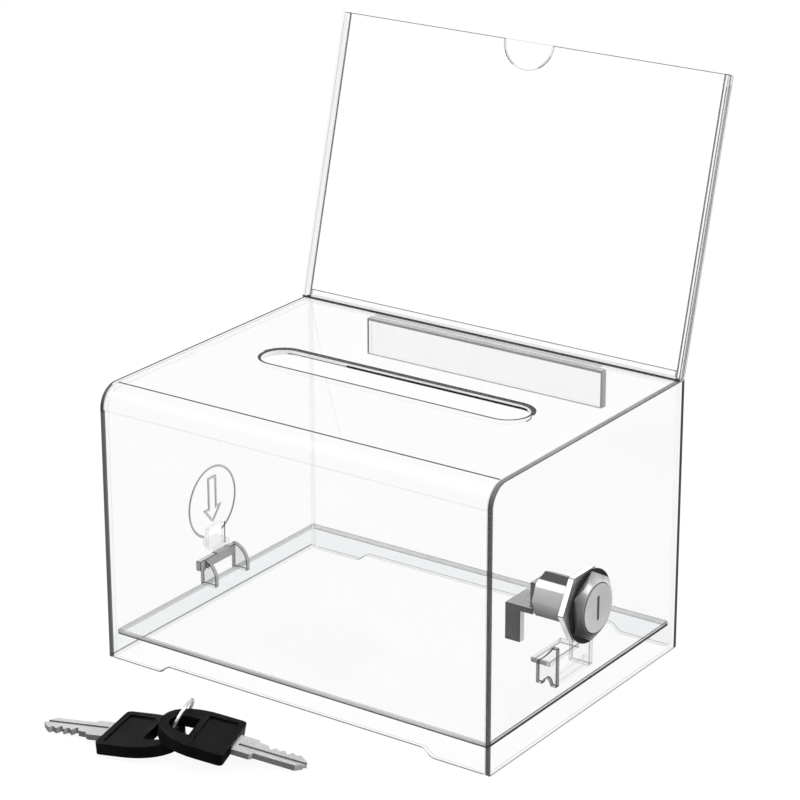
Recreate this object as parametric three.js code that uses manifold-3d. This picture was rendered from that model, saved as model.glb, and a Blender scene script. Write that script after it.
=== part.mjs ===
import * as THREE from "three";
import { mergeVertices } from "three/addons/utils/BufferGeometryUtils.js";
import Module from "manifold-3d";

const wasm = await Module();
wasm.setup();

// Millimetres, +Z up, front faces -Y, lock on the +X side.

// Box
const BOX_W = 160;
const BOX_D = 120;
const BOX_H = 101;
const SHEET = 2;
const BEND_R = 8;
const SLOT_LENGTH = 109;
const SLOT_WIDTH = 15.5;
const RECESS_H = 2.8;
const RECESS_BOTTOM = 58;
const RECESS_TOP = 52.5;
const STRIP_W = 100;
const STRIP_H = 14;
const STRIP_T = 3;
const HALF_W = BOX_W / 2;
const HALF_D = BOX_D / 2;
const IN_X = HALF_W - SHEET;
const IN_Y = HALF_D - SHEET;

// Sign holder
const SIGN_RISE = 104.6;
const SIGN_LEAN = THREE.MathUtils.degToRad(15);
const SIGN_SHEET = 1.5;
const SIGN_GAP = 1;
const SPACER_W = 2.5;
const NOTCH_R = 9.8;

// Removable floor with its hook (left) and catch (right)
const FLOOR_Z = 8.5;
const FLOOR_GAP = 0.3;
const FLOOR_TOP = FLOOR_Z + SHEET;
const HOOK_H = 10;
const HOOK_R = 7;
const HOOK_X = -IN_X + 0.5;
const TONGUE_W = 8;
const TONGUE_Z = [21.8, 24.3];
const WINDOW_W = 8.8;
const WINDOW_Z = [21.4, 29.5];
const CATCH_X = [66, 74.4];
const CATCH_Y = [-11, 10];
const CHEEK_T = 2;

// Engraved disc outline and down arrow on the left wall
const ENGRAVE_DEPTH = 0.25;
const ENGRAVE_LINE = 0.45;
const MARK_R = 13.3;

// Cam lock
const LOCK_Z = 38.5;
const BARREL_R = 8.3;
const BARREL_IN = 62.4;
const WALL_HOLE_R = 8.9;
const GASKET_R = 13;
const GASKET_T = 0.6;
const BEZEL_HEX_R = 12.8;
const BEZEL_FACE_R = 9.6;
const BEZEL_RISE = 2.6;
const NUT_R = 13.3;
const NUT_T = 2.4;
const PLUG_R = 5.9;
const PLUG_HEAD_R = 8.6;
const PLUG_HEAD_T = 2;
const RUN_GAP = 0.3;
const CAM_FACE = 62;
const CAM_T = 2;

// Keys
const BOW_L = 26;
const BOW_W = 25.5;
const BOW_T = 4;
const PANEL_X = [2.2, 12.2];
const PANEL_W = 20.5;
const PANEL_DEPTH = 0.45;
const BLADE_L = 25;
const BLADE_W = 7.6;
const SHOULDER_L = 7.5;
const SHOULDER_W = 10.6;
const BLADE_T = 2;
const RING_R = 7.5;
const RING_WIRE = 0.6;
const RING_LEAN = 24;
const RING_BACK = 8.4;
const KEYS_AT = [-16.5, -103.9];

const clear = new THREE.MeshStandardMaterial({
  color: 0xe9f1f1,
  roughness: 0.06,
  metalness: 0,
  transparent: true,
  opacity: 0.3,
});
const chrome = new THREE.MeshStandardMaterial({ color: 0xb9bcc0, roughness: 0.2, metalness: 1 });
const steel = new THREE.MeshStandardMaterial({ color: 0x8f9196, roughness: 0.35, metalness: 1 });
const rubber = new THREE.MeshStandardMaterial({ color: 0x141414, roughness: 0.8, metalness: 0 });
const plastic = new THREE.MeshStandardMaterial({ color: 0x17171a, roughness: 0.5, metalness: 0 });

const assembly = new THREE.Group();

function solid(geometry) {
  const bare = (geometry.index ? geometry.toNonIndexed() : geometry.clone());
  bare.deleteAttribute("normal");
  bare.deleteAttribute("uv");
  const merged = mergeVertices(bare, 1e-4);
  return new wasm.Manifold(
    new wasm.Mesh({
      numProp: 3,
      vertProperties: merged.attributes.position.array,
      triVerts: new Uint32Array(merged.index.array),
    }),
  );
}

function addPart(name, body, material) {
  const mesh = body.getMesh();
  const geometry = new THREE.BufferGeometry();
  const flat = new Float32Array(mesh.numVert * 3);
  for (let i = 0; i < mesh.numVert; i++) {
    const start = i * mesh.numProp;
    flat.set(mesh.vertProperties.subarray(start, start + 3), i * 3);
  }
  geometry.setAttribute("position", new THREE.BufferAttribute(flat, 3));
  geometry.setIndex(new THREE.BufferAttribute(new Uint32Array(mesh.triVerts), 1));
  geometry.computeVertexNormals();
  const part = new THREE.Mesh(geometry, material);
  part.name = name;
  assembly.add(part);
}

function box(x, y, z) {
  const geometry = new THREE.BoxGeometry(x[1] - x[0], y[1] - y[0], z[1] - z[0]);
  geometry.translate((x[0] + x[1]) / 2, (y[0] + y[1]) / 2, (z[0] + z[1]) / 2);
  return solid(geometry);
}

function extrude(shape, depth, segments = 16) {
  return new THREE.ExtrudeGeometry(shape, { depth, bevelEnabled: false, curveSegments: segments });
}

// A shape drawn in (Y, Z), extruded along X.
function prismX(shape, x, segments) {
  const geometry = extrude(shape, x[1] - x[0], segments);
  geometry.applyMatrix4(
    new THREE.Matrix4().makeBasis(
      new THREE.Vector3(0, 1, 0),
      new THREE.Vector3(0, 0, 1),
      new THREE.Vector3(1, 0, 0),
    ),
  );
  geometry.translate(x[0], 0, 0);
  return solid(geometry);
}

// A shape drawn in (X, Z), extruded along Y.
function prismY(shape, y, segments) {
  const geometry = extrude(shape, y[1] - y[0], segments);
  geometry.applyMatrix4(
    new THREE.Matrix4().makeBasis(
      new THREE.Vector3(1, 0, 0),
      new THREE.Vector3(0, 0, 1),
      new THREE.Vector3(0, -1, 0),
    ),
  );
  geometry.translate(0, y[1], 0);
  return solid(geometry);
}

// A shape drawn in (X, Y), extruded along Z.
function prismZ(shape, z, segments) {
  const geometry = extrude(shape, z[1] - z[0], segments);
  geometry.translate(0, 0, z[0]);
  return solid(geometry);
}

function polygon(points) {
  return new THREE.Shape(points.map(([x, y]) => new THREE.Vector2(x, y)));
}

// A round or faceted bar along X about the lock's axis.
function barX(radiusIn, radiusOut, x, sides = 48, turn = 0) {
  const geometry = new THREE.CylinderGeometry(radiusOut, radiusIn, x[1] - x[0], sides);
  geometry.rotateY(turn);
  geometry.rotateZ(-Math.PI / 2);
  geometry.translate((x[0] + x[1]) / 2, 0, LOCK_Z);
  return solid(geometry);
}

// Foot recess, drawn in (X, Z): shallow, with an S-shaped run at each end.
function footRecess(y) {
  const shape = new THREE.Shape();
  const middle = (RECESS_BOTTOM + RECESS_TOP) / 2;
  shape.moveTo(-RECESS_BOTTOM, -1);
  shape.lineTo(RECESS_BOTTOM, -1);
  shape.lineTo(RECESS_BOTTOM, 0);
  shape.bezierCurveTo(middle, 0, middle, RECESS_H, RECESS_TOP, RECESS_H);
  shape.lineTo(-RECESS_TOP, RECESS_H);
  shape.bezierCurveTo(-middle, RECESS_H, -middle, 0, -RECESS_BOTTOM, 0);
  shape.closePath();
  return prismY(shape, y, 8);
}

function buildBentSheet() {
  const shape = new THREE.Shape();
  const bendY = -HALF_D + BEND_R;
  const bendZ = BOX_H - BEND_R;
  shape.moveTo(-HALF_D, 0);
  shape.lineTo(-IN_Y, 0);
  shape.lineTo(-IN_Y, bendZ);
  shape.absarc(bendY, bendZ, BEND_R - SHEET, Math.PI, Math.PI / 2, true);
  shape.lineTo(HALF_D, BOX_H - SHEET);
  shape.lineTo(HALF_D, BOX_H);
  shape.lineTo(bendY, BOX_H);
  shape.absarc(bendY, bendZ, BEND_R, Math.PI / 2, Math.PI, false);
  shape.closePath();
  const slot = new THREE.Shape();
  const end = (SLOT_LENGTH - SLOT_WIDTH) / 2;
  slot.absarc(end, 0, SLOT_WIDTH / 2, -Math.PI / 2, Math.PI / 2, false);
  slot.absarc(-end, 0, SLOT_WIDTH / 2, Math.PI / 2, (3 * Math.PI) / 2, false);
  slot.closePath();
  const sheet = prismX(shape, [-IN_X, IN_X], 16)
    .subtract(footRecess([-HALF_D - 1, -IN_Y + 1]))
    .subtract(prismZ(slot, [BOX_H - SHEET - 1, BOX_H + 1], 16));
  addPart("bent_front_top_sheet", sheet, clear);
}

function buildBackWall() {
  const wall = box([-IN_X, IN_X], [IN_Y, HALF_D], [0, BOX_H - SHEET]);
  addPart("back_wall", wall.subtract(footRecess([IN_Y - 1, HALF_D + 1])), clear);
  const strip = box(
    [-STRIP_W / 2, STRIP_W / 2],
    [IN_Y - STRIP_T, IN_Y],
    [BOX_H - SHEET - STRIP_H, BOX_H - SHEET],
  );
  addPart("rear_stiffener_strip", strip, clear);
}

function sideOutline() {
  const shape = new THREE.Shape();
  shape.moveTo(-HALF_D, 0);
  shape.lineTo(HALF_D, 0);
  shape.lineTo(HALF_D, BOX_H);
  shape.lineTo(-HALF_D + BEND_R, BOX_H);
  shape.absarc(-HALF_D + BEND_R, BOX_H - BEND_R, BEND_R, Math.PI / 2, Math.PI, false);
  shape.closePath();
  return shape;
}

function ringOutline(radius, line) {
  const shape = new THREE.Shape();
  shape.absarc(0, LOCK_Z, radius + line / 2, 0, 2 * Math.PI, false);
  const hole = new THREE.Path();
  hole.absarc(0, LOCK_Z, radius - line / 2, 0, 2 * Math.PI, true);
  shape.holes.push(hole);
  return shape;
}

// Half width against height of the arrow's outline, from its tail down to its tip.
function arrowPoints(shaft, head, grow) {
  const tail = LOCK_Z + 9.4 + grow;
  const neck = LOCK_Z - 2.6 + grow;
  const tip = LOCK_Z - 7.6 - grow * 1.5;
  return [
    [shaft, tail],
    [-shaft, tail],
    [-shaft, neck],
    [-head - grow, neck],
    [0, tip],
    [head + grow, neck],
    [shaft, neck],
  ];
}

function buildLeftWall() {
  const depth = [-HALF_W - 1, -HALF_W + ENGRAVE_DEPTH];
  const arrow = polygon(arrowPoints(2.4, 4.6, 0.35));
  const inner = new THREE.Path(arrowPoints(1.7, 3.9, -0.35).map(([y, z]) => new THREE.Vector2(y, z)));
  arrow.holes.push(inner);
  const wall = prismX(sideOutline(), [-HALF_W, -IN_X], 16)
    .subtract(box([-HALF_W - 1, -IN_X + 1], [-WINDOW_W / 2, WINDOW_W / 2], WINDOW_Z))
    .subtract(prismX(ringOutline(MARK_R, ENGRAVE_LINE), depth, 32))
    .subtract(prismX(arrow, depth, 4));
  addPart("left_side_wall", wall, clear);
}

function buildRightWall() {
  const wall = prismX(sideOutline(), [IN_X, HALF_W], 16);
  const hole = barX(WALL_HOLE_R, WALL_HOLE_R, [IN_X - 1, HALF_W + 1]);
  addPart("right_side_wall", wall.subtract(hole), clear);
}

// Corner points in (Y, Z) of one leaning layer between two depths from the rear face.
function signLayer(near, far, low, high) {
  const along = new THREE.Vector2(Math.sin(SIGN_LEAN), Math.cos(SIGN_LEAN));
  const across = new THREE.Vector2(-Math.cos(SIGN_LEAN), Math.sin(SIGN_LEAN));
  const foot = (depth) => new THREE.Vector2(HALF_D - depth / Math.cos(SIGN_LEAN), BOX_H);
  const at = (rise, depth) =>
    new THREE.Vector2(HALF_D, BOX_H).addScaledVector(along, rise).addScaledVector(across, depth);
  const bottom = low === 0 ? [foot(far), foot(near)] : [at(low, far), at(low, near)];
  return new THREE.Shape([...bottom, at(high, near), at(high, far)]);
}

function buildSignHolder() {
  const rearSheet = [0, SIGN_SHEET];
  const spacer = [SIGN_SHEET, SIGN_SHEET + SIGN_GAP];
  const frontSheet = [SIGN_SHEET + SIGN_GAP, 2 * SIGN_SHEET + SIGN_GAP];
  const across = [-HALF_W, HALF_W];
  addPart("sign_rear_sheet", prismX(signLayer(...rearSheet, 0, SIGN_RISE), across), clear);
  const notch = new THREE.CylinderGeometry(NOTCH_R, NOTCH_R, 6, 48);
  const top = new THREE.Vector2(HALF_D, BOX_H)
    .addScaledVector(new THREE.Vector2(Math.sin(SIGN_LEAN), Math.cos(SIGN_LEAN)), SIGN_RISE)
    .addScaledVector(
      new THREE.Vector2(-Math.cos(SIGN_LEAN), Math.sin(SIGN_LEAN)),
      (frontSheet[0] + frontSheet[1]) / 2,
    );
  notch.rotateX(-SIGN_LEAN);
  notch.translate(0, top.x, top.y);
  const front = prismX(signLayer(...frontSheet, 0, SIGN_RISE), across).subtract(solid(notch));
  addPart("sign_front_sheet", front, clear);
  const side = signLayer(...spacer, 0, SIGN_RISE);
  addPart("sign_left_spacer", prismX(side, [-HALF_W, -HALF_W + SPACER_W]), clear);
  addPart("sign_right_spacer", prismX(side, [HALF_W - SPACER_W, HALF_W]), clear);
  const low = signLayer(...spacer, 0, SPACER_W);
  addPart("sign_bottom_spacer", prismX(low, [-HALF_W + SPACER_W, HALF_W - SPACER_W]), clear);
}

function buildFloorPlate() {
  const x = [-IN_X + FLOOR_GAP, IN_X - FLOOR_GAP];
  const y = [-IN_Y + FLOOR_GAP, IN_Y - FLOOR_GAP];
  addPart("floor_plate", box(x, y, [FLOOR_Z, FLOOR_TOP]), clear);
}

// Cheek of the hook bracket in (X, Z): upright at the wall, quarter round towards the inside.
function hookCheek() {
  const shape = new THREE.Shape();
  shape.moveTo(HOOK_X, FLOOR_TOP);
  shape.lineTo(HOOK_X + HOOK_R, FLOOR_TOP);
  shape.lineTo(HOOK_X + HOOK_R, FLOOR_TOP + HOOK_H - HOOK_R);
  shape.absarc(HOOK_X, FLOOR_TOP + HOOK_H - HOOK_R, HOOK_R, 0, Math.PI / 2, false);
  shape.closePath();
  return shape;
}

function buildHookBracket() {
  const barX0 = [HOOK_X, HOOK_X + 2.2];
  const barZ = [FLOOR_TOP + HOOK_H - 3.8, FLOOR_TOP + HOOK_H];
  const bar = box(barX0, [-13.5, 7.3], barZ);
  const riser = box(barX0, [-TONGUE_W / 2, TONGUE_W / 2], [barZ[0], TONGUE_Z[1]]);
  const tongue = box([-HALF_W - 2, barX0[1]], [-TONGUE_W / 2, TONGUE_W / 2], TONGUE_Z);
  const hook = bar.add(riser).add(tongue);
  addPart("hook_bar", hook, clear);
  const pocket = box([HOOK_X - 1, barX0[1]], [-14, -8], [barZ[0], barZ[1] + 1]);
  addPart("hook_front_cheek", prismY(hookCheek(), [-11, -9], 12).subtract(pocket), clear);
  addPart("hook_rear_cheek", prismY(hookCheek(), [7.3, 9.3], 12), clear);
}

function buildCatch() {
  const [x0, x1] = CATCH_X;
  const front = new THREE.Shape();
  front.moveTo(x0, FLOOR_TOP);
  front.lineTo(x0 + 2.6, FLOOR_TOP);
  front.quadraticCurveTo((x0 + x1) / 2, FLOOR_TOP + 5, x1 - 2.6, FLOOR_TOP);
  front.lineTo(x1, FLOOR_TOP);
  front.lineTo(x1, 25);
  front.lineTo(x1 - 2.2, 25);
  front.quadraticCurveTo(x0 + 3.6, 21, x0, 18.5);
  front.closePath();
  addPart("catch_front_cheek", prismY(front, [CATCH_Y[0], CATCH_Y[0] + CHEEK_T], 10), clear);
  const rear = polygon([
    [x0, FLOOR_TOP],
    [x1, FLOOR_TOP],
    [x1, 24],
    [x1 - 5.4, 32],
    [x1 - 5.4, 37],
    [51.5, 37],
    [51.5, 34.6],
    [59.8, 34.6],
    [x0, 24],
  ]);
  addPart("catch_rear_cheek", prismY(rear, [CATCH_Y[1], CATCH_Y[1] + 2.4], 10), clear);
  const shelf = box([62.5, 70.5], [CATCH_Y[0] + CHEEK_T, CATCH_Y[1]], [16.5, 18.5]);
  addPart("catch_shelf", shelf, clear);
  const tie = box([x1 - 2.4, x1 - 0.4], [CATCH_Y[0] + CHEEK_T, CATCH_Y[1]], [FLOOR_TOP, 15]);
  addPart("catch_tie_bar", tie, clear);
}

function buildLockHousing() {
  const face = HALF_W + GASKET_T + BEZEL_RISE;
  const base = HALF_W + GASKET_T;
  const hexagon = barX(BEZEL_HEX_R, BEZEL_HEX_R, [base, face], 6);
  const chamfer = barX(BEZEL_FACE_R + BEZEL_RISE * 1.3, BEZEL_FACE_R, [base, face], 64);
  const barrel = barX(BARREL_R, BARREL_R, [BARREL_IN, base], 8);
  const head = hexagon.intersect(chamfer);
  const bore = barX(PLUG_R + RUN_GAP, PLUG_R + RUN_GAP, [BARREL_IN - 1, face + 1]);
  const seat = barX(PLUG_HEAD_R + RUN_GAP, PLUG_HEAD_R + RUN_GAP, [face - PLUG_HEAD_T, face + 1]);
  addPart("lock_housing", head.add(barrel).subtract(bore).subtract(seat), chrome);
}

function buildLockFixings() {
  const ring = barX(GASKET_R, GASKET_R, [HALF_W, HALF_W + GASKET_T], 64);
  const inside = barX(WALL_HOLE_R, WALL_HOLE_R, [HALF_W - 1, HALF_W + GASKET_T + 1], 48);
  addPart("lock_gasket", ring.subtract(inside), rubber);
  const hex = barX(NUT_R, NUT_R, [IN_X - NUT_T, IN_X], 6, Math.PI / 6);
  const thread = barX(WALL_HOLE_R, WALL_HOLE_R, [IN_X - NUT_T - 1, IN_X + 1]);
  addPart("lock_nut", hex.subtract(thread), chrome);
}

function buildLockPlug() {
  const face = HALF_W + GASKET_T + BEZEL_RISE + 0.3;
  const seat = HALF_W + GASKET_T + BEZEL_RISE - PLUG_HEAD_T + RUN_GAP;
  const head = barX(PLUG_HEAD_R, PLUG_HEAD_R, [seat, face]);
  const stem = barX(PLUG_R, PLUG_R, [CAM_FACE, seat]);
  const slit = box([face - 14, face + 1], [-0.7, 0.7], [LOCK_Z - 4.35, LOCK_Z + 4.35]);
  addPart("lock_plug", head.add(stem).subtract(slit), chrome);
}

// The cam hangs from the plug's inner end: upright hub, level shelf, finger down at the front.
function buildLockCam() {
  const y = [-7, 6.5];
  const shelfZ = [LOCK_Z - 5.4, LOCK_Z - 3.4];
  const hub = box([CAM_FACE - CAM_T, CAM_FACE], [-5.5, 5.5], [shelfZ[0], LOCK_Z + 5.5]);
  const shelf = box([51, CAM_FACE], y, shelfZ);
  const finger = box([51, 57], [y[0], y[0] + 2.8], [LOCK_Z - 17, shelfZ[1]]);
  addPart("lock_cam", hub.add(shelf).add(finger), steel);
  const head = barX(3, 3, [CAM_FACE - CAM_T - 1.8, CAM_FACE - CAM_T], 24);
  const drive = box([57, 58.8], [-0.5, 0.5], [LOCK_Z - 4, LOCK_Z + 4]);
  addPart("cam_screw", head.subtract(drive), chrome);
}

// Key outline in (X, Y): flat end of the bow at X = 0, round end at +X, blade towards -X.
function bowShape() {
  const half = BOW_W / 2;
  const shape = new THREE.Shape();
  shape.moveTo(0, -half + 2);
  shape.quadraticCurveTo(0, -half, 2, -half);
  shape.lineTo(10, -half);
  shape.bezierCurveTo(18.5, -half, BOW_L, -8.5, BOW_L, 0);
  shape.bezierCurveTo(BOW_L, 8.5, 18.5, half, 10, half);
  shape.lineTo(2, half);
  shape.quadraticCurveTo(0, half, 0, half - 2);
  shape.closePath();
  const hole = new THREE.Path();
  hole.moveTo(14.4, -5.8);
  hole.bezierCurveTo(19, -5.8, BOW_L - 3, -4.5, BOW_L - 3, 0);
  hole.bezierCurveTo(BOW_L - 3, 4.5, 19, 5.8, 14.4, 5.8);
  hole.closePath();
  shape.holes.push(hole);
  return shape;
}

// Sunk panel in each face of the bow, between its raised rim and the hole.
function bowPanel(z) {
  const [x0, x1] = PANEL_X;
  const half = PANEL_W / 2;
  const shape = new THREE.Shape();
  shape.moveTo(x0, -half + 1);
  shape.quadraticCurveTo(x0, -half, x0 + 1, -half);
  shape.lineTo(x1 - 1, -half + 0.6);
  shape.quadraticCurveTo(x1, -half + 0.6, x1, -half + 1.6);
  shape.lineTo(x1, half - 1.6);
  shape.quadraticCurveTo(x1, half - 0.6, x1 - 1, half - 0.6);
  shape.lineTo(x0 + 1, half);
  shape.quadraticCurveTo(x0, half, x0, half - 1);
  shape.closePath();
  return prismZ(shape, z, 4);
}

// Cuts along the blade's lower edge: position and depth.
const BITTING = [
  [-20.5, 1.2],
  [-17.6, 2],
  [-14.7, 1.4],
  [-11.8, 2.2],
];

function bladeShape() {
  const half = BLADE_W / 2;
  const shape = new THREE.Shape();
  const shoulder = SHOULDER_W / 2;
  shape.moveTo(9, -half);
  shape.lineTo(9, half);
  shape.lineTo(-0.4, half);
  shape.lineTo(-0.4, shoulder);
  shape.lineTo(-SHOULDER_L + 1, shoulder);
  shape.lineTo(-SHOULDER_L, shoulder - 1);
  shape.lineTo(-SHOULDER_L, half);
  shape.lineTo(-BLADE_L + 3, half);
  shape.lineTo(-BLADE_L, half - 3);
  shape.lineTo(-BLADE_L, half - 4.2);
  shape.lineTo(-BLADE_L + 3, -half + 0.4);
  for (const [x, depth] of BITTING) {
    shape.lineTo(x - 1.2, -half + 0.3);
    shape.lineTo(x - 0.3, -half + depth);
    shape.lineTo(x + 0.3, -half + depth);
    shape.lineTo(x + 1.2, -half + 0.3);
  }
  shape.lineTo(-SHOULDER_L - 1.4, -half);
  shape.lineTo(-SHOULDER_L, -half);
  shape.lineTo(-SHOULDER_L, -shoulder + 1);
  shape.lineTo(-SHOULDER_L + 1, -shoulder);
  shape.lineTo(-0.4, -shoulder);
  shape.lineTo(-0.4, -half);
  shape.closePath();
  return shape;
}

// Turned about the round end's tip, so that both keys meet on the ring.
function placeKey(body, turn, tilt, along, lift) {
  return body
    .translate([-BOW_L, 0, 0])
    .rotate([0, tilt, 0])
    .rotate([0, 0, turn])
    .translate([
      KEYS_AT[0] + along * Math.cos(THREE.MathUtils.degToRad(turn)),
      KEYS_AT[1] + along * Math.sin(THREE.MathUtils.degToRad(turn)),
      lift,
    ]);
}

function buildKey(name, turn, tilt, along, lift) {
  const middle = BOW_T / 2;
  const bladeZ = [middle - BLADE_T / 2, middle + BLADE_T / 2];
  const pocketZ = [bladeZ[0] - 0.1, bladeZ[1] + 0.1];
  const pocket = box([-1, 9.1], [-BLADE_W / 2 - 0.1, BLADE_W / 2 + 0.1], pocketZ);
  const bow = prismZ(bowShape(), [0, BOW_T], 12)
    .subtract(pocket)
    .subtract(bowPanel([BOW_T - PANEL_DEPTH, BOW_T + 1]))
    .subtract(bowPanel([-1, PANEL_DEPTH]));
  addPart(name + "_bow", placeKey(bow, turn, tilt, along, lift), plastic);
  const groove = (z) => box([-BLADE_L - 1, -1.5], [0.2, 1.6], z);
  const blade = prismZ(bladeShape(), bladeZ, 4)
    .subtract(groove([bladeZ[1] - 0.5, bladeZ[1] + 1]))
    .subtract(groove([bladeZ[0] - 1, bladeZ[0] + 0.5]));
  addPart(name + "_blade", placeKey(blade, turn, tilt, along, lift), steel);
}

function buildKeyRing() {
  const geometry = new THREE.TorusGeometry(RING_R, RING_WIRE, 10, 48);
  const lean = THREE.MathUtils.degToRad(RING_LEAN);
  const turn = THREE.MathUtils.degToRad(16);
  geometry.rotateY(Math.PI / 2 + lean);
  geometry.rotateZ(turn);
  geometry.translate(
    KEYS_AT[0] - RING_BACK * Math.sin(turn),
    KEYS_AT[1] + RING_BACK * Math.cos(turn),
    RING_R * Math.cos(lean) + RING_WIRE + 0.05,
  );
  addPart("key_ring", solid(geometry), chrome);
}

buildBentSheet();
buildBackWall();
buildLeftWall();
buildRightWall();
buildSignHolder();
buildFloorPlate();
buildHookBracket();
buildCatch();
buildLockHousing();
buildLockFixings();
buildLockPlug();
buildLockCam();
buildKey("key_1", 13, -3.9, 4, 2.5);
buildKey("key_2", 199, -10.05, 4, 8);
buildKeyRing();

const group = new THREE.Group();
group.name = "donation_box";
const extent = new THREE.Box3().setFromObject(assembly);
const middle = extent.getCenter(new THREE.Vector3());
assembly.position.set(-middle.x, -middle.y, -extent.min.z);
group.add(assembly);

export default group;
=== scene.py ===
import math

import bpy
from mathutils import Matrix, Vector


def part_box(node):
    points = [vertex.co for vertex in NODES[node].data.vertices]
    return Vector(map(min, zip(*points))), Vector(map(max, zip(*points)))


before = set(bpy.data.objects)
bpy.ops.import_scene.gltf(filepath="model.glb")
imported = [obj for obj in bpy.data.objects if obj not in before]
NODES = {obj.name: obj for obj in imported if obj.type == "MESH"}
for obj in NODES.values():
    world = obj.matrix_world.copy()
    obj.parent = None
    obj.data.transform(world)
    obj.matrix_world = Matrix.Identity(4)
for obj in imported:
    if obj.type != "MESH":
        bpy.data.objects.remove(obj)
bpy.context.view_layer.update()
MM = 0.001

# The box's own centre on the table, from the floor plate, which is centred in it.
plate_lo, plate_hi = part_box("floor_plate")
HOME = Vector(((plate_lo.x + plate_hi.x) / 2, (plate_lo.y + plate_hi.y) / 2, 0))
SIGN_LEAN = math.radians(15)
SIGN_NORMAL = (0, -math.cos(SIGN_LEAN), math.sin(SIGN_LEAN))

# Sizes of the part in millimetres, from the middle of the box's foot.
LOCK_Z = 38.5
PLATE_UNDER = 8.5
HALF_WIDTH = 80
HALF_DEPTH = 60
SLOT_STRAIGHT = 46.75
SLOT_RADIUS = 7.75
RECESS_BOTTOM = 58
RECESS_TOP = 52.5
RECESS_RISE = 2.8
BEND_START = -48
PLUG_HEAD_R = 8.6
BEZEL_HEX_R = 12.8

# Widths of the painted dark lines, painted shade along the slot's and the foot's edges, in
# millimetres.
SLOT_LINE_FRONT = 1.15
SLOT_LINE_REAR = 1.75
FOOT_LINE = 0.62


# ---------------------------------------------------------------- node helpers

def new_material(name):
    material = bpy.data.materials.new(name)
    material.use_nodes = True
    material.node_tree.nodes.clear()
    return material, material.node_tree


def node(tree, kind, **values):
    made = tree.nodes.new(kind)
    for key, value in values.items():
        setattr(made, key, value)
    return made


def put(tree, target, value):
    if isinstance(value, bpy.types.NodeSocket):
        tree.links.new(value, target)
    elif hasattr(value, "__len__") and len(value) == 3 and len(target.default_value) == 4:
        target.default_value = (*value, 1)
    else:
        target.default_value = value


def math_node(tree, operation, a, b=None):
    made = node(tree, "ShaderNodeMath", operation=operation)
    for socket, value in zip(made.inputs, (a, b)):
        if value is not None:
            put(tree, socket, value)
    return made.outputs[0]


def map_range(tree, value, low, high, to_low=0.0, to_high=1.0):
    made = node(tree, "ShaderNodeMapRange")
    put(tree, made.inputs["Value"], value)
    made.inputs["From Min"].default_value = low
    made.inputs["From Max"].default_value = high
    made.inputs["To Min"].default_value = to_low
    made.inputs["To Max"].default_value = to_high
    return made.outputs["Result"]


def mix_colour(tree, share, a, b):
    made = node(tree, "ShaderNodeMix", data_type="RGBA")
    put(tree, made.inputs["Factor"], share)
    put(tree, made.inputs["A"], a)
    put(tree, made.inputs["B"], b)
    return made.outputs["Result"]


def mix_shader(tree, share, a, b):
    made = node(tree, "ShaderNodeMixShader")
    put(tree, made.inputs[0], share)
    tree.links.new(a, made.inputs[1])
    tree.links.new(b, made.inputs[2])
    return made.outputs[0]


def object_coords(tree, scale=(1, 1, 1)):
    coords = node(tree, "ShaderNodeTexCoord")
    mapping = node(tree, "ShaderNodeMapping")
    tree.links.new(coords.outputs["Object"], mapping.inputs["Vector"])
    mapping.inputs["Scale"].default_value = scale
    return mapping.outputs["Vector"]


def noise(tree, vector, scale, detail=2.0, rough=0.5):
    made = node(tree, "ShaderNodeTexNoise")
    tree.links.new(vector, made.inputs["Vector"])
    made.inputs["Scale"].default_value = scale
    made.inputs["Detail"].default_value = detail
    made.inputs["Roughness"].default_value = rough
    return made.outputs["Fac"]


def bump(tree, height, distance, strength):
    made = node(tree, "ShaderNodeBump")
    tree.links.new(height, made.inputs["Height"])
    made.inputs["Distance"].default_value = distance
    made.inputs["Strength"].default_value = strength
    return made.outputs["Normal"]


def principled(tree, **values):
    made = node(tree, "ShaderNodeBsdfPrincipled")
    for key, value in values.items():
        put(tree, made.inputs[key.replace("_", " ")], value)
    return made


def finish_material(tree, shader):
    out = node(tree, "ShaderNodeOutputMaterial")
    tree.links.new(shader, out.inputs["Surface"])


# ---------------------------------------------------------------- acrylic

X_AXIS = (1, 0, 0)
Y_AXIS = (0, 1, 0)
Z_AXIS = (0, 0, 1)

# How a cut edge looks: tone of its frosted skin, and how much of it that skin covers. DARK is
# painted shade, the dark look a cut edge takes in the light; FAINT is nearly clear.
DARK = (0.03, 0.93)
FAINT = (0.85, 0.03)

# What one polished face lets through above the floor plate, the greyer tint below it, which is
# painted shade where less light reaches, and the sheet's IOR.
CLEAR = (0.987, 0.988, 0.988)
CLEAR_SHADED = (0.945, 0.952, 0.958)
ACRYLIC_IOR = 1.49


def facing(tree):
    """The surface's outward direction in the part's own frame, whichever side it is seen from."""
    coords = node(tree, "ShaderNodeTexCoord")
    split = node(tree, "ShaderNodeSeparateXYZ")
    tree.links.new(coords.outputs["Normal"], split.inputs[0])
    inside = node(tree, "ShaderNodeNewGeometry").outputs["Backfacing"]
    turn = map_range(tree, inside, 0, 1, 1, -1)
    return {axis: math_node(tree, "MULTIPLY", split.outputs[axis], turn) for axis in "XYZ"}


def place_mm(tree):
    """Position in millimetres from the middle of the box's foot."""
    coords = node(tree, "ShaderNodeTexCoord")
    mapping = node(tree, "ShaderNodeMapping")
    tree.links.new(coords.outputs["Object"], mapping.inputs["Vector"])
    mapping.inputs["Scale"].default_value = (1 / MM, 1 / MM, 1 / MM)
    mapping.inputs["Location"].default_value = tuple(-HOME / MM)
    split = node(tree, "ShaderNodeSeparateXYZ")
    tree.links.new(mapping.outputs["Vector"], split.inputs[0])
    return {axis: split.outputs[axis] for axis in "XYZ"}


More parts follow.
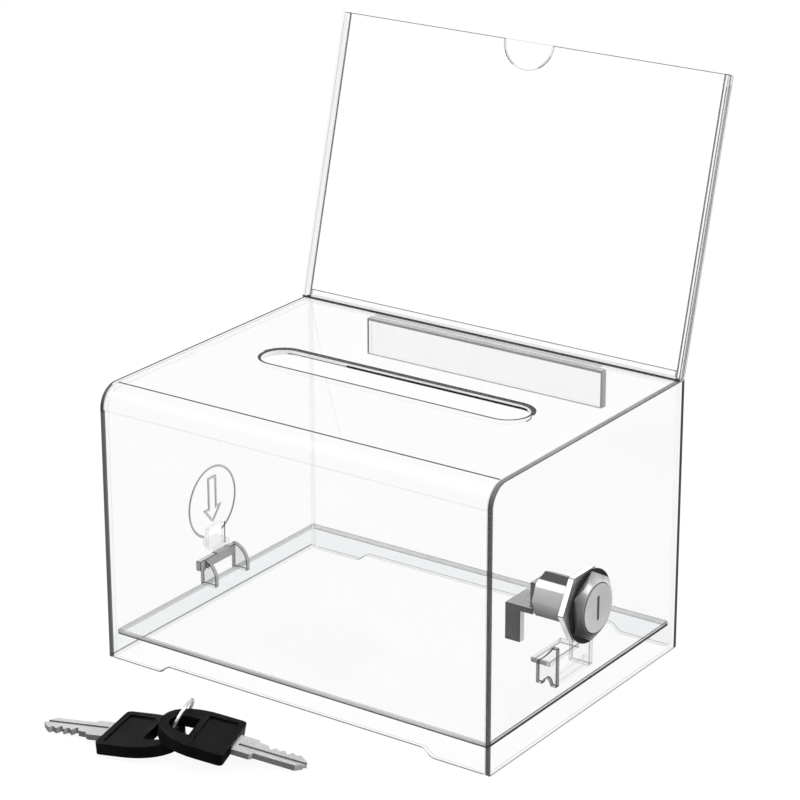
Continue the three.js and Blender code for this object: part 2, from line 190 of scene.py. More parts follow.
def side_blend(tree, normal, looks, part):
    """One value per side, blended by how squarely the surface faces each side."""
    total = None
    for side, values in looks.items():
        sign = -1 if side[0] == "-" else 1
        along = math_node(tree, "MULTIPLY", normal[side[1].upper()], sign)
        toward = math_node(tree, "MAXIMUM", along, 0)
        squarely = math_node(tree, "MULTIPLY", toward, toward)
        term = math_node(tree, "MULTIPLY", squarely, values[part])
        total = term if total is None else math_node(tree, "ADD", total, term)
    return total


def in_zone(tree, place, zone):
    """1 inside the box given by a range per axis, else 0."""
    inside = None
    for axis, (low, high) in zone.items():
        above = math_node(tree, "GREATER_THAN", place[axis], low)
        below = math_node(tree, "LESS_THAN", place[axis], high)
        both = math_node(tree, "MULTIPLY", above, below)
        inside = both if inside is None else math_node(tree, "MULTIPLY", inside, both)
    return inside


def fade(tree, place, value, zones):
    """value, multiplied by each zone's share inside that zone."""
    for zone, share in zones:
        left = map_range(tree, in_zone(tree, place, zone), 0, 1, 1, share)
        value = math_node(tree, "MULTIPLY", value, left)
    return value


def clear_shader(tree, through=CLEAR, film_share=0.5):
    """The sheet's polished face: see-through, with a mirror film that grows towards grazing."""
    where = object_coords(tree)
    smears = noise(tree, where, 18, 3)
    glass = node(tree, "ShaderNodeBsdfTransparent")
    put(tree, glass.inputs["Color"], through)
    film = node(tree, "ShaderNodeBsdfGlossy")
    film.inputs["Color"].default_value = (1, 1, 1, 1)
    put(tree, film.inputs["Roughness"], map_range(tree, smears, 0.35, 0.7, 0.02, 0.07))
    fresnel = node(tree, "ShaderNodeFresnel")
    fresnel.inputs["IOR"].default_value = ACRYLIC_IOR
    inside = node(tree, "ShaderNodeNewGeometry").outputs["Backfacing"]
    outside = math_node(tree, "SUBTRACT", 1.0, inside)
    grazing = math_node(tree, "MULTIPLY", fresnel.outputs[0], outside)
    share = math_node(tree, "MULTIPLY", grazing, film_share)
    return mix_shader(tree, share, glass.outputs[0], film.outputs[0])


def skin_shader(tree, tone, solid):
    """Sawn or flame-polished plastic: a frosted skin over clear sheet, with drifting bands. Its
    tone, given by the caller, is painted: the dark or pale look an edge takes in the light.
    """
    where = object_coords(tree)
    bands = noise(tree, where, 26, 2)
    saw = noise(tree, where, 900, 2)
    tone = math_node(tree, "MULTIPLY", tone, map_range(tree, bands, 0.36, 0.64, 0.75, 1.25))
    colour = mix_colour(tree, tone, (0.0, 0.0, 0.0), (1.0, 1.0, 0.985))
    body = principled(tree, Base_Color=colour, Roughness=map_range(tree, saw, 0.3, 0.7, 0.2, 0.4))
    body.inputs["IOR"].default_value = ACRYLIC_IOR
    body.inputs["Specular IOR Level"].default_value = 0.06
    tree.links.new(bump(tree, saw, 0.00004, 0.4), body.inputs["Normal"])
    through = node(tree, "ShaderNodeBsdfTransparent")
    through.inputs["Color"].default_value = (0.96, 0.965, 0.965, 1)
    return mix_shader(tree, solid, through.outputs[0], body.outputs[0])


def cut_edge(tree, place, looks, zones=()):
    """A sheet's narrow side, with a painted look for each direction, the dark or pale look it takes
    in the light, let through more in each zone.
    """
    normal = facing(tree)
    tone = side_blend(tree, normal, looks, 0)
    solid = fade(tree, place, side_blend(tree, normal, looks, 1), zones)
    return skin_shader(tree, tone, solid)


def normal_share(tree, axis):
    """How squarely the surface faces along axis, either way, from 0 to 1."""
    coords = node(tree, "ShaderNodeTexCoord")
    dot = node(tree, "ShaderNodeVectorMath", operation="DOT_PRODUCT")
    tree.links.new(coords.outputs["Normal"], dot.inputs[0])
    dot.inputs[1].default_value = axis
    return math_node(tree, "ABSOLUTE", dot.outputs["Value"])


def sides(default, **changes):
    """Looks for all six sides, with some of them changed: px is +X, ny is -Y and so on."""
    looks = {sign + axis: default for sign in "+-" for axis in "xyz"}
    for key, look in changes.items():
        looks[{"p": "+", "n": "-"}[key[0]] + key[1]] = look
    return looks


def foot_painted_shade(tree, place):
    """Painted shade: below the floor plate the sheet looks slightly grey, where less light reaches.
    """
    low = math_node(tree, "LESS_THAN", place["Z"], PLATE_UNDER)
    return mix_colour(tree, low, CLEAR, CLEAR_SHADED)


def add_lines(tree, place, shader, lines):
    """Dark lines where an edge's total reflection shows through: (zone, tone, cover) each."""
    cover = tone = None
    for zone, dark, solid in lines:
        here = in_zone(tree, place, zone)
        share = math_node(tree, "MULTIPLY", here, solid)
        cover = share if cover is None else math_node(tree, "MAXIMUM", cover, share)
        term = math_node(tree, "MULTIPLY", here, dark)
        tone = term if tone is None else math_node(tree, "MAXIMUM", tone, term)
    if cover is None:
        return shader
    return mix_shader(tree, cover, shader, skin_shader(tree, tone, 1.0))


def acrylic(name, axis, looks, zones=(), tint=CLEAR, foot=False, lines=(), film=0.5):
    """A flat sheet whose broad faces look along axis."""
    material, tree = new_material(name)
    place = place_mm(tree)
    through = foot_painted_shade(tree, place) if foot else tint
    broad = map_range(tree, normal_share(tree, axis), 0.8, 0.97)
    edge = cut_edge(tree, place, looks, zones)
    shader = mix_shader(tree, broad, edge, clear_shader(tree, through, film))
    finish_material(tree, add_lines(tree, place, shader, lines))
    return material


def slot_lines(tree, place, shader):
    """Painted shade: dark outline of the money slot on the top, heavier at its rear edge, and on
    its rear wall.
    """
    beyond = math_node(tree, "SUBTRACT", math_node(tree, "ABSOLUTE", place["X"]), SLOT_STRAIGHT)
    reach = math_node(tree, "MAXIMUM", beyond, 0)
    across = math_node(tree, "MULTIPLY", place["Y"], place["Y"])
    round_end = math_node(tree, "MULTIPLY", reach, reach)
    from_middle = math_node(tree, "SQRT", math_node(tree, "ADD", round_end, across))
    gap = math_node(tree, "SUBTRACT", from_middle, SLOT_RADIUS)
    rear = math_node(tree, "GREATER_THAN", place["Y"], 1)
    width = map_range(tree, rear, 0, 1, SLOT_LINE_FRONT, SLOT_LINE_REAR)
    near = math_node(tree, "LESS_THAN", gap, width)
    line = math_node(tree, "MULTIPLY", near, math_node(tree, "GREATER_THAN", gap, 0.02))
    on_top = in_zone(tree, place, {"Z": (100.8, 102)})
    line = math_node(tree, "MULTIPLY", line, on_top)
    shader = mix_shader(tree, line, shader, skin_shader(tree, 0.01, 0.95))
    return add_lines(tree, place, shader, (
        ({"X": (-25, 50), "Y": (5, 8), "Z": (98.9, 100.0)}, 0.002, 0.98),
        ({"X": (-50, -25), "Y": (5, 8), "Z": (98.9, 99.6)}, 0.02, 0.8),
    ))


def foot_line(tree, place, shader):
    """Painted shade: dark line along the bent sheet's lower edge, which rises between its two feet.
    """
    rise = node(tree, "ShaderNodeMapRange", interpolation_type="SMOOTHSTEP")
    put(tree, rise.inputs["Value"], math_node(tree, "ABSOLUTE", place["X"]))
    rise.inputs["From Min"].default_value = RECESS_BOTTOM
    rise.inputs["From Max"].default_value = RECESS_TOP
    rise.inputs["To Min"].default_value = 0
    rise.inputs["To Max"].default_value = RECESS_RISE
    above = math_node(tree, "SUBTRACT", place["Z"], rise.outputs["Result"])
    low = math_node(tree, "LESS_THAN", above, FOOT_LINE)
    in_front = math_node(tree, "LESS_THAN", place["Y"], 0.1 - HALF_DEPTH)
    line = math_node(tree, "MULTIPLY", math_node(tree, "MULTIPLY", low, in_front), 0.8)
    return mix_shader(tree, line, shader, skin_shader(tree, 0.03, 1.0))


def bent_acrylic(name, looks, lines):
    """The bent sheet's broad side turns from front to top, so its cut edges are found by place."""
    material, tree = new_material(name)
    place = place_mm(tree)
    normal = facing(tree)
    side = math_node(tree, "ABSOLUTE", normal["X"])
    upright = math_node(tree, "ABSOLUTE", normal["Z"])
    end = map_range(tree, side, 0.5, 0.8)
    on_top = math_node(tree, "GREATER_THAN", place["Y"], BEND_START)
    wall = math_node(tree, "MULTIPLY", on_top, map_range(tree, upright, 0.9, 0.6))
    low = math_node(tree, "LESS_THAN", place["Z"], 5)
    foot = math_node(tree, "MULTIPLY", low, map_range(tree, upright, 0.3, 0.6))
    edge = math_node(tree, "MAXIMUM", math_node(tree, "MAXIMUM", end, wall), foot)
    shader = mix_shader(tree, edge, clear_shader(tree), cut_edge(tree, place, looks))
    shader = foot_line(tree, place, add_lines(tree, place, shader, lines))
    finish_material(tree, slot_lines(tree, place, shader))
    return material


def arris(name, solid, zones):
    """The fine bevel along the edges of a clear part, painted near-black as the shade line an edge
    shows, fainter inside each zone.
    """
    material, tree = new_material(name + "_arris")
    place = place_mm(tree)
    where = object_coords(tree)
    drift = noise(tree, where, 40, 2)
    colour = mix_colour(tree, map_range(tree, drift, 0.35, 0.65, 0.004, 0.04), (0, 0, 0), (1, 1, 1))
    body = principled(tree, Base_Color=colour, Roughness=map_range(tree, drift, 0.3, 0.7, 0.2, 0.3))
    body.inputs["Specular IOR Level"].default_value = 0.05
    through = node(tree, "ShaderNodeBsdfTransparent")
    through.inputs["Color"].default_value = (0.96, 0.96, 0.96, 1)
    cover = fade(tree, place, map_range(tree, drift, 0.3, 0.7, solid * 0.9, solid), zones)
    finish_material(tree, mix_shader(tree, cover, through.outputs[0], body.outputs[0]))
    return material


# ---------------------------------------------------------------- metal, rubber and plastic

def ramp(tree, value, low, high, *stops):
    """A tone that runs through stops of (value, tone) as value goes from low to high."""
    made = node(tree, "ShaderNodeValToRGB")
    put(tree, made.inputs["Fac"], map_range(tree, value, low, high))
    points = made.color_ramp.elements
    while len(points) < len(stops):
        points.new(0.5)
    for point, (at, tone) in zip(points, stops):
        point.position = (at - low) / (high - low)
        point.color = (tone, tone, tone, 1)
    return made.outputs["Color"]


def metal_shader(
    tree, tone, metallic, rough,
    grain=(1, 1, 1), grain_scale=300.0, grain_depth=0.0000006, wear=0.03,
):
    """Plated or milled metal: tone that drifts, grain along one way and fine scuffs. The tone given
    is painted reflection and shade.
    """
    where = object_coords(tree)
    along = object_coords(tree, grain)
    drift = noise(tree, where, 60, 3)
    lines = noise(tree, along, grain_scale, 3)
    scuffs = map_range(tree, noise(tree, where, 420, 4, 0.7), 0.58, 0.72)
    drifted = math_node(tree, "MULTIPLY", tone, map_range(tree, drift, 0.3, 0.7, 0.88, 1.12))
    colour = mix_colour(tree, drifted, (0.0, 0.0, 0.0), (1.0, 1.0, 1.0))
    colour = mix_colour(tree, math_node(tree, "MULTIPLY", scuffs, wear), colour, (0.2, 0.2, 0.2))
    roughness = math_node(
        tree, "ADD", map_range(tree, lines, 0.3, 0.7, rough[0], rough[1]),
        math_node(tree, "MULTIPLY", scuffs, 3 * wear),
    )
    shader = principled(tree, Base_Color=colour, Roughness=roughness, Metallic=metallic)
    tree.links.new(bump(tree, lines, grain_depth, 0.5), shader.inputs["Normal"])
    return shader.outputs[0]


def metal(name, looks, metallic, rough, **grain):
    """looks gives the tone of each side, painted reflection and shade: polished flats mirror
    different parts of a room.
    """
    material, tree = new_material(name)
    tone = side_blend(tree, facing(tree), looks, 0)
    finish_material(tree, metal_shader(tree, tone, metallic, rough, **grain))
    return material


def bezel_painted_light(tree, place, height):
    """Bezel: painted light and shade, brighter above and to the rear, darker towards its rim."""
    squares = math_node(
        tree, "ADD", math_node(tree, "MULTIPLY", place["Y"], place["Y"]),
        math_node(tree, "MULTIPLY", height, height),
    )
    radius = math_node(tree, "SQRT", squares)
    lean = math_node(
        tree, "ADD", math_node(tree, "MULTIPLY", place["Y"], 0.22),
        math_node(tree, "MULTIPLY", height, 0.2),
    )
    lean = math_node(tree, "ADD", math_node(tree, "DIVIDE", lean, radius), 0.32)
    rim = map_range(tree, radius, PLUG_HEAD_R, BEZEL_HEX_R, 1.2, 0.4)
    return math_node(tree, "MULTIPLY", math_node(tree, "MAXIMUM", lean, 0.02), rim)


def lock_chrome(name):
    """Housing: barrel and bezel with painted reflection, a dark room mirrored in bands, and the
    face is satin.
    """
    material, tree = new_material(name)
    place = place_mm(tree)
    normal = facing(tree)
    height = math_node(tree, "SUBTRACT", place["Z"], LOCK_Z)
    # Painted reflection and shade on the barrel: dark below, a bright band near its top, dark again
    # above it.
    barrel = ramp(
        tree, height, -13.0, 13.0,
        (-13.0, 0.01), (-6.5, 0.02), (-5.5, 0.1), (-1.0, 0.3), (4.8, 0.45),
        (5.0, 0.95), (6.6, 0.95), (6.8, 0.03), (9.5, 0.05), (13.0, 0.12),
    )
    level = node(tree, "ShaderNodeRGBToBW")
    tree.links.new(barrel, level.inputs[0])
    outside = math_node(tree, "GREATER_THAN", place["X"], HALF_WIDTH)
    tone = node(tree, "ShaderNodeMix", data_type="FLOAT")
    put(tree, tone.inputs["Factor"], outside)
    put(tree, tone.inputs["A"], level.outputs[0])
    put(tree, tone.inputs["B"], bezel_painted_light(tree, place, height))
    face = math_node(tree, "MULTIPLY", outside, map_range(tree, normal["X"], 0.75, 0.9))
    metallic = map_range(tree, face, 0, 1, 0.5, 0.25)
    finish_material(tree, metal_shader(tree, tone.outputs["Result"], metallic, (0.12, 0.24)))
    return material


def plastic(name, dark, light, rough, grain_scale, depth, specular):
    """Moulded plastic or rubber with a fine spark-eroded grain and paler rubbed patches."""
    material, tree = new_material(name)
    where = object_coords(tree)
    grain = noise(tree, where, grain_scale, 2)
    rubbed = noise(tree, where, 90, 3)
    share = map_range(tree, rubbed, 0.35, 0.75)
    colour = mix_colour(tree, share, (dark, dark, dark), (light, light, light))
    shader = principled(
        tree, Base_Color=colour, Roughness=map_range(tree, rubbed, 0.3, 0.7, rough[0], rough[1])
    )
    shader.inputs["Specular IOR Level"].default_value = specular
    tree.links.new(bump(tree, grain, depth, 0.6), shader.inputs["Normal"])
    finish_material(tree, shader.outputs[0])
    return material


# ---------------------------------------------------------------- modifiers

SHARP_ANGLE = math.radians(30)
BEVEL_ANGLE = math.radians(35)
FLAT_ANGLE = math.radians(0.5)
WELD_DISTANCE = 0.01 * MM


def smooth_group():
    """Smooth shading that stays sharp across steep edges, without the mesh's stored normals."""
    tree = bpy.data.node_groups.new("smooth_by_angle", "GeometryNodeTree")
    tree.interface.new_socket("Geometry", in_out="INPUT", socket_type="NodeSocketGeometry")
    tree.interface.new_socket("Geometry", in_out="OUTPUT", socket_type="NodeSocketGeometry")
    source = tree.nodes.new("NodeGroupInput")
    result = tree.nodes.new("NodeGroupOutput")
    plain = tree.nodes.new("GeometryNodeRemoveAttribute")
    plain.inputs["Name"].default_value = "custom_normal"
    faces = node(tree, "GeometryNodeSetShadeSmooth", domain="FACE")
    faces.inputs["Shade Smooth"].default_value = True
    edges = node(tree, "GeometryNodeSetShadeSmooth", domain="EDGE")
    edges.inputs["Shade Smooth"].default_value = False
    angle = tree.nodes.new("GeometryNodeInputMeshEdgeAngle")
    sharp = node(tree, "ShaderNodeMath", operation="GREATER_THAN")
    sharp.inputs[1].default_value = SHARP_ANGLE
    tree.links.new(angle.outputs[0], sharp.inputs[0])
    tree.links.new(source.outputs[0], plain.inputs["Geometry"])
    tree.links.new(plain.outputs[0], faces.inputs["Geometry"])
    tree.links.new(faces.outputs[0], edges.inputs["Geometry"])
    tree.links.new(sharp.outputs[0], edges.inputs["Selection"])
    tree.links.new(edges.outputs[0], result.inputs[0])
    return tree


SMOOTH = smooth_group()


def dress(name, material, line, width, segments, clamp=True):
    """Materials, smoothing and a fine bevel on a CAD node; line is the bevel's own material."""
    piece = NODES[name]
    piece.data.materials.clear()
    piece.data.materials.append(material)
    if line:
        piece.data.materials.append(line)
    weld = piece.modifiers.new("weld", "WELD")
    weld.merge_threshold = WELD_DISTANCE
    if width:
        flat = piece.modifiers.new("flats", "DECIMATE")
        flat.decimate_type = "DISSOLVE"
        flat.angle_limit = FLAT_ANGLE
    smooth = piece.modifiers.new("smooth", "NODES")
    smooth.node_group = SMOOTH
    if width:
        bevel = piece.modifiers.new("bevel", "BEVEL")
        bevel.width = width * MM
        bevel.segments = segments
        bevel.limit_method = "ANGLE"
        bevel.angle_limit = BEVEL_ANGLE
        bevel.harden_normals = True
        bevel.use_clamp_overlap = clamp
        if line:
            bevel.material = 1


# ---------------------------------------------------------------- clear parts

# Width of the fine bevel, wider on the catch, whose edges look darker.
ARRIS_W = 0.28
CATCH_ARRIS_W = 0.4

# Zones are boxes in millimetres from the middle of the box's foot. Those that start just outside a
# face, such as -80.1 on the left wall, take in the face itself and reach a little way behind it.
# The edge looks, lines and zones below are painted shade: the dark lines and pale edges that the
# clear sheets show in the light.
WALL_LEFT = acrylic(
    "acrylic_left_wall", X_AXIS, sides(DARK, pz=FAINT, nz=FAINT), foot=True,
    zones=(
        ({"Y": (58, 61)}, 0.04),
        ({"X": (-80.1, -79.7), "Y": (-16, 16)}, 0.3),
        ({"Y": (-5, 5), "Z": (21, 30)}, 0.05),
    ),
    lines=(
        ({"X": (-79.9, -79.6), "Y": (-16, 16), "Z": (22, 54)}, 0.1, 0.5),
        ({"X": (-79.95, -78.95), "Y": (-61, 59.6), "Z": (93, 102)}, 0.015, 0.95),
        ({"X": (-79.95, -78.4), "Y": (-61, -53), "Z": (92, 100.6)}, 0.03, 0.85),
        ({"X": (-80.1, -79.9), "Z": (-1, 0.6)}, 0.03, 0.8),
    ),
)
WALL_RIGHT = acrylic(
    "acrylic_right_wall", X_AXIS, sides(DARK, pz=(0.14, 0.85), nz=FAINT, py=FAINT),
    lines=(
        ({"X": (79.9, 80.1), "Z": (-1, 0.62)}, 0.02, 0.9),
        ({"X": (79.9, 80.1), "Y": (58.0, 61)}, 0.012, 0.97),
    ),
)
WALL_BACK = acrylic("acrylic_back_wall", Y_AXIS, sides(FAINT), foot=True)
STRIP = acrylic(
    "acrylic_strip", Y_AXIS, sides(FAINT, px=(0.22, 0.9), pz=(0.3, 0.7)), tint=(0.95, 0.95, 0.95),
    lines=(
        ({"X": (-51, -49.1), "Y": (54, 55.3)}, 0.02, 0.95),
        ({"X": (49.4, 51), "Y": (54, 55.3)}, 0.04, 0.85),
        ({"Y": (54, 55.3), "Z": (84, 85.7)}, 0.08, 0.7),
        ({"Y": (54, 55.3), "Z": (98.2, 100)}, 0.03, 0.85),
    ),
)
PLATE = acrylic(
    "acrylic_floor", Z_AXIS, sides(FAINT, px=(0.3, 0.3), ny=(0.33, 0.8), py=(0.4, 0.5)), film=0.12,
    lines=(
        ({"X": (77.5, 79), "Z": (8.3, 9.8)}, 0.004, 0.97),
        ({"Y": (-59, -57.55), "Z": (8.3, 9.25)}, 0.03, 0.92),
        ({"Y": (-59, -57.2), "Z": (10.3, 11)}, 0.1, 0.5),
        ({"X": (-79, -77.2)}, 0.12, 0.45),
        ({"Y": (57.1, 59), "Z": (10.3, 11)}, 0.03, 0.8),
        ({"Y": (57.2, 59), "Z": (8.3, 8.7)}, 0.03, 0.6),
    ),
)
BENT = bent_acrylic(
    "acrylic_bent", sides(FAINT, px=(0.3, 0.1), nx=(0.3, 0.1), ny=(0.6, 0.6)),
    (
        ({"Y": (-52.7, -51.85), "Z": (100.5, 102)}, 0.02, 0.95),
        ({"Y": (-61, -59.5), "Z": (92.7, 93.4)}, 0.2, 0.12),
        ({"X": (-46, 50), "Y": (53.4, 55.9), "Z": (100.8, 102)}, 0.22, 0.5),
    ),
)
SIGN_FRONT = acrylic(
    "acrylic_sign_front", SIGN_NORMAL, sides(FAINT, px=(0.5, 0.7)), tint=(1.0, 1.0, 1.0), film=0.1,
    zones=(({"X": (-5, 5), "Z": (190, 204)}, 0.3),),
    lines=(({"Y": (55, 56.5), "Z": (100, 101.95)}, 0.02, 0.92),),
)
SIGN_REAR = acrylic(
    "acrylic_sign_rear", SIGN_NORMAL, sides(FAINT, px=(0.4, 0.75)), tint=(1.0, 1.0, 1.0), film=0.1,
)
SPACER_LEFT = acrylic("acrylic_spacer_left", SIGN_NORMAL, sides(FAINT, px=(0.03, 0.9)))
SPACER_RIGHT = acrylic(
    "acrylic_spacer_right", SIGN_NORMAL, sides(FAINT, px=(0.3, 0.8), nx=(0.03, 0.85)),
)
SPACER_LOW = acrylic("acrylic_spacer_low", SIGN_NORMAL, sides(FAINT))
HOOK_BAR = acrylic(
    "acrylic_hook_bar", (0.577, 0.577, 0.577),
    sides((0.35, 0.7), pz=(0.42, 0.8), px=(0.26, 0.9), ny=(0.2, 0.85)),
    zones=(({"Z": (20.6, 25)}, 0.06),),
)
HOOK_CHEEK = acrylic(
    "acrylic_hook_cheek", Y_AXIS, sides((0.22, 0.8), nx=(0.06, 0.7), nz=FAINT),
    tint=(0.86, 0.865, 0.87),
)
CATCH_CHEEK = acrylic(
    "acrylic_catch_cheek", Y_AXIS, sides((0.06, 0.75), nz=(0.06, 0.7), pz=(0.15, 0.7)),
    tint=(0.96, 0.962, 0.965),
)
CATCH_REAR = acrylic("acrylic_catch_rear", Y_AXIS, sides((0.4, 0.3)), tint=(0.975, 0.976, 0.978))
CATCH_SHELF = acrylic("acrylic_catch_shelf", Z_AXIS, sides((0.4, 0.2), ny=(0.1, 0.85)))
CATCH_TIE = acrylic("acrylic_catch_tie", X_AXIS, sides(FAINT))

# Each part's arris is painted shade: solid is how much the near-black bevel covers, and it is
# fainter in each zone listed.
for name, material, solid, zones in (
    ("left_side_wall", WALL_LEFT, 0.9, (
        ({"X": (-79.1, -77), "Z": (93, 102)}, 0.25),
        ({"Y": (58.5, 61), "Z": (0.6, 100.4)}, 0.08),
        ({"Z": (-1, 0.5)}, 0.4),
        ({"X": (-80.1, -79.5), "Y": (-16, 16), "Z": (30, 54)}, 0.5),
        ({"X": (-80.1, -79.5), "Y": (-16, -5), "Z": (22, 30)}, 0.6),
        ({"X": (-80.1, -79.5), "Y": (5, 16), "Z": (22, 30)}, 0.6),
        ({"Y": (-4.3, 4.3), "Z": (21, 30)}, 0.1),
        ({"X": (-80.1, -79.4), "Y": (-5.2, 5.2), "Z": (20, 31)}, 0.1),
    )),
    ("right_side_wall", WALL_RIGHT, 0.9, (
        ({"X": (76, 79.1), "Z": (-1, 0.5)}, 0.2), ({"Y": (58, 59)}, 0.3),
        ({"X": (77, 78.5), "Y": (59, 61)}, 0.08),
    )),
    ("back_wall", WALL_BACK, 0.7, (
        ({"X": (-79, -77)}, 0.06), ({"X": (77, 79)}, 0.04), ({"Z": (98.4, 100)}, 0.1),
        ({"Y": (59.2, 61)}, 0.6),
    )),
    ("rear_stiffener_strip", STRIP, 0.8, (({"Z": (84, 85.6)}, 0.2), ({"Y": (57.2, 59)}, 0.2))),
    ("floor_plate", PLATE, 0.85, (
        ({"X": (-79, -77)}, 0.3), ({"Y": (-59, -57), "Z": (10, 11)}, 0.35), ({"Y": (57, 59)}, 0.6),
    )),
    ("bent_front_top_sheet", BENT, 0.95, (
        ({"X": (-79, -77.2)}, 0.1), ({"X": (77.2, 79)}, 0.2), ({"Z": (-1, 0.5)}, 0.8),
        ({"Y": (-59, -57.8), "Z": (-1, 3.4)}, 0.15), ({"Y": (59, 61)}, 0.1),
        ({"Y": (-10, -1), "Z": (98, 99.6)}, 0.05),
        ({"X": (-60, -25), "Y": (-1, 10), "Z": (98, 99.6)}, 0.4),
    )),
    ("sign_front_sheet", SIGN_FRONT, 0.85, (
        ({"X": (-81, -79)}, 0.4), ({"Z": (199, 210)}, 0.55),
        ({"X": (-5, 5), "Z": (190, 204)}, 0.25),
    )),
    ("sign_rear_sheet", SIGN_REAR, 0.8, (
        ({"X": (-81, -79)}, 0.15), ({"Z": (199, 210)}, 0.1), ({"Z": (100, 102)}, 0.3),
    )),
    ("sign_left_spacer", SPACER_LEFT, 0.8, (({"X": (-81, -79)}, 0.1),)),
    ("sign_right_spacer", SPACER_RIGHT, 0.8, ()),
    ("sign_bottom_spacer", SPACER_LOW, 0.6, (({"Z": (100, 102)}, 0.05),)),
    ("hook_bar", HOOK_BAR, 0.8, (({"Z": (20.8, 25)}, 0.08),)),
    ("hook_front_cheek", HOOK_CHEEK, 0.9, ()),
    ("hook_rear_cheek", HOOK_CHEEK, 0.9, ()),
    ("catch_front_cheek", CATCH_CHEEK, 0.9, ()),
    ("catch_rear_cheek", CATCH_REAR, 0.45, ()),
    ("catch_shelf", CATCH_SHELF, 0.55, ()),
    ("catch_tie_bar", CATCH_TIE, 0.1, ()),
):
    width = CATCH_ARRIS_W if name.startswith("catch") else ARRIS_W
    dress(name, material, arris(name, solid, zones), width, 1, clamp=False)


# ---------------------------------------------------------------- lock and keys

def tones(default, **changes):
    return {side: (look,) for side, look in sides(default, **changes).items()}


CHROME = lock_chrome("chrome_plate_housing")
# Painted reflection and shade: the nut, ring, plug, cam and blades get a lighter or darker tone on
# each side by the light that side catches.
NUT = metal("chrome_plate_nut", tones(0.7, ny=0.95, pz=0.9, nz=0.35), 0.3, (0.12, 0.22))
SCREW = metal("chrome_plate_screw", tones(0.6), 0.7, (0.15, 0.25))
RING = metal("chrome_plate_ring", tones(0.75, nz=0.2, nx=0.35), 0.8, (0.08, 0.16))
SATIN = metal("satin_plug", tones(0.3, px=0.45), 0.25, (0.28, 0.42))
CAM = metal(
    "cam_steel_milled", tones(0.2, ny=0.055, px=0.8, pz=0.3, nz=0.03), 0.35, (0.25, 0.4),
    grain=(1, 8, 8),
)
STEEL = metal(
    "key_steel_milled", tones(0.4, pz=0.5, ny=0.1, nz=0.1), 0.6, (0.24, 0.3),
    grain=(1, 6, 6), grain_scale=90.0, grain_depth=0.0000001, wear=0.0,
)
LINE = plastic(
    "shadow_line", 0.004, 0.02, (0.3, 0.45), grain_scale=900, depth=0.00001, specular=0.2,
)
RUBBER = plastic(
    "gasket_rubber", 0.006, 0.015, (0.6, 0.8), grain_scale=900, depth=0.00003, specular=0.2,
)
BOW = plastic(
    "bow_plastic_black", 0.001, 0.004, (0.3, 0.45), grain_scale=1600, depth=0.000002, specular=0.04,
)

for name, material, line, width in (
    ("lock_housing", CHROME, None, 0.2),
    ("lock_gasket", RUBBER, None, 0.15),
    ("lock_nut", NUT, LINE, 0.2),
    ("lock_plug", SATIN, None, 0.12),
    ("lock_cam", CAM, LINE, 0.2),
    ("cam_screw", SCREW, None, 0.2),
    ("key_1_bow", BOW, None, 0.45),
    ("key_2_bow", BOW, None, 0.45),
    ("key_1_blade", STEEL, None, 0.0),
    ("key_2_blade", STEEL, None, 0.0),
    ("key_ring", RING, None, 0.0),
):
    dress(name, material, line, width, 3)


# ---------------------------------------------------------------- stage, lights and camera

def make_floor():
    mesh = bpy.data.meshes.new("floor")
    half = 4.0
    corners = [(-half, -half, 0), (half, -half, 0), (half, half, 0), (-half, half, 0)]
    mesh.from_pydata(corners, [], [(0, 1, 2, 3)])
    floor = bpy.data.objects.new("floor", mesh)
    floor.location = (0, 0, -0.0002)
    bpy.context.scene.collection.objects.link(floor)
    material, tree = new_material("pale_floor")
    paper = principled(tree, Base_Color=(0.93, 0.93, 0.93), Roughness=0.7)
    glow = node(tree, "ShaderNodeEmission")
    shown = mix_shader(tree, 0.93, paper.outputs[0], glow.outputs[0])
    card = principled(tree, Base_Color=(0.5, 0.5, 0.5), Roughness=0.8)
    rays = node(tree, "ShaderNodeLightPath")
    finish_material(tree, mix_shader(tree, rays.outputs["Is Glossy Ray"], shown, card.outputs[0]))
    mesh.materials.append(material)


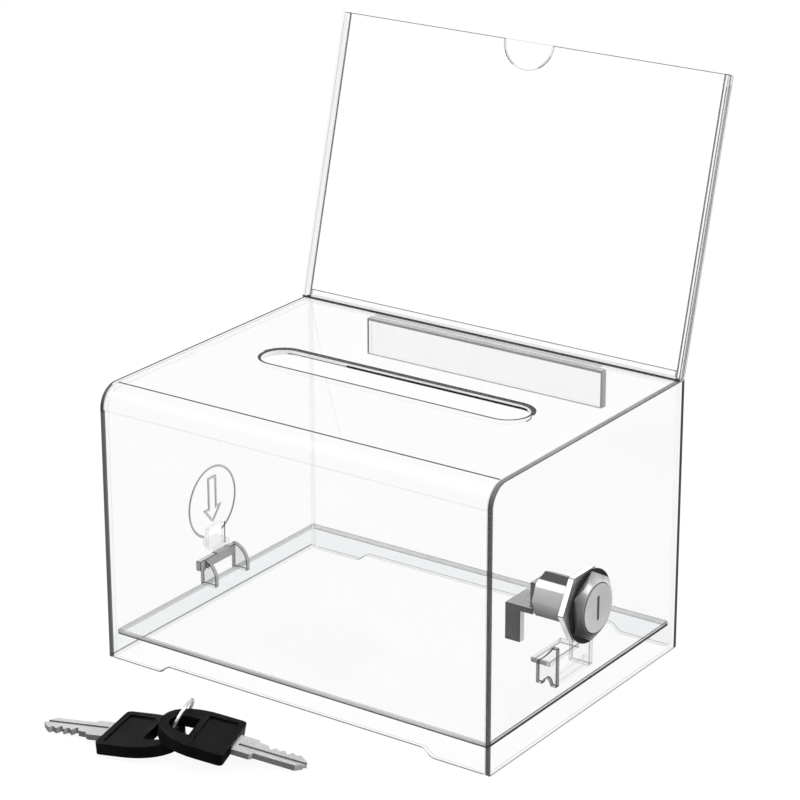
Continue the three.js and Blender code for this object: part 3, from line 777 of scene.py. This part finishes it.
def make_world():
    world = bpy.data.worlds.new("studio")
    world.use_nodes = True
    bpy.context.scene.world = world
    tree = world.node_tree
    tree.nodes.clear()
    coords = node(tree, "ShaderNodeTexCoord")
    split = node(tree, "ShaderNodeSeparateXYZ")
    tree.links.new(coords.outputs["Generated"], split.inputs[0])
    height = map_range(tree, split.outputs["Z"], 0.0, 0.3, 0.1, 1.05)
    rays = node(tree, "ShaderNodeLightPath")
    shown = node(tree, "ShaderNodeBackground")
    shown.inputs["Color"].default_value = (1, 1, 1, 1)
    shown.inputs["Strength"].default_value = 1.0
    mirrored = node(tree, "ShaderNodeBackground")
    mirrored.inputs["Color"].default_value = (1, 1, 1, 1)
    tree.links.new(height, mirrored.inputs["Strength"])
    mixed = mix_shader(tree, rays.outputs["Is Glossy Ray"], shown.outputs[0], mirrored.outputs[0])
    out = node(tree, "ShaderNodeOutputWorld")
    tree.links.new(mixed, out.inputs["Surface"])


def make_light(name, place, aim, size, power):
    data = bpy.data.lights.new(name, "AREA")
    data.shape = "RECTANGLE"
    data.size, data.size_y = size
    data.energy = power
    light = bpy.data.objects.new(name, data)
    bpy.context.scene.collection.objects.link(light)
    light.location = place
    light.rotation_mode = "QUATERNION"
    light.rotation_quaternion = (Vector(aim) - Vector(place)).to_track_quat("-Z", "Y")


# The camera stands this far in metres from the middle of the box's foot.
CAMERA_PLACE = Vector((0.5667, -0.8090, 0.4673))
CAMERA_HEADING = math.radians(34.87)
CAMERA_PITCH = math.radians(20.66)
CAMERA_ROLL = math.radians(-0.10)
CAMERA_LENS = 139.0


def make_camera():
    data = bpy.data.cameras.new("camera")
    data.lens = CAMERA_LENS
    data.clip_start, data.clip_end = 0.01, 20
    camera = bpy.data.objects.new("camera", data)
    bpy.context.scene.collection.objects.link(camera)
    turn = Matrix.Rotation(CAMERA_HEADING, 4, "Z")
    turn = turn @ Matrix.Rotation(math.pi / 2 - CAMERA_PITCH, 4, "X")
    turn = turn @ Matrix.Rotation(CAMERA_ROLL, 4, "Z")
    camera.matrix_world = Matrix.Translation(HOME + CAMERA_PLACE) @ turn
    bpy.context.scene.camera = camera


make_floor()
make_world()
make_light("key_softbox", (-0.5, -0.5, 1.1), (0, 0, 0.05), (0.9, 0.9), 9)
make_light("side_softbox", (1.1, 0.3, 0.7), (0, 0, 0.06), (0.5, 0.9), 5)
make_camera()

scene = bpy.context.scene
scene.view_settings.view_transform = "Standard"
scene.cycles.transparent_max_bounces = 64
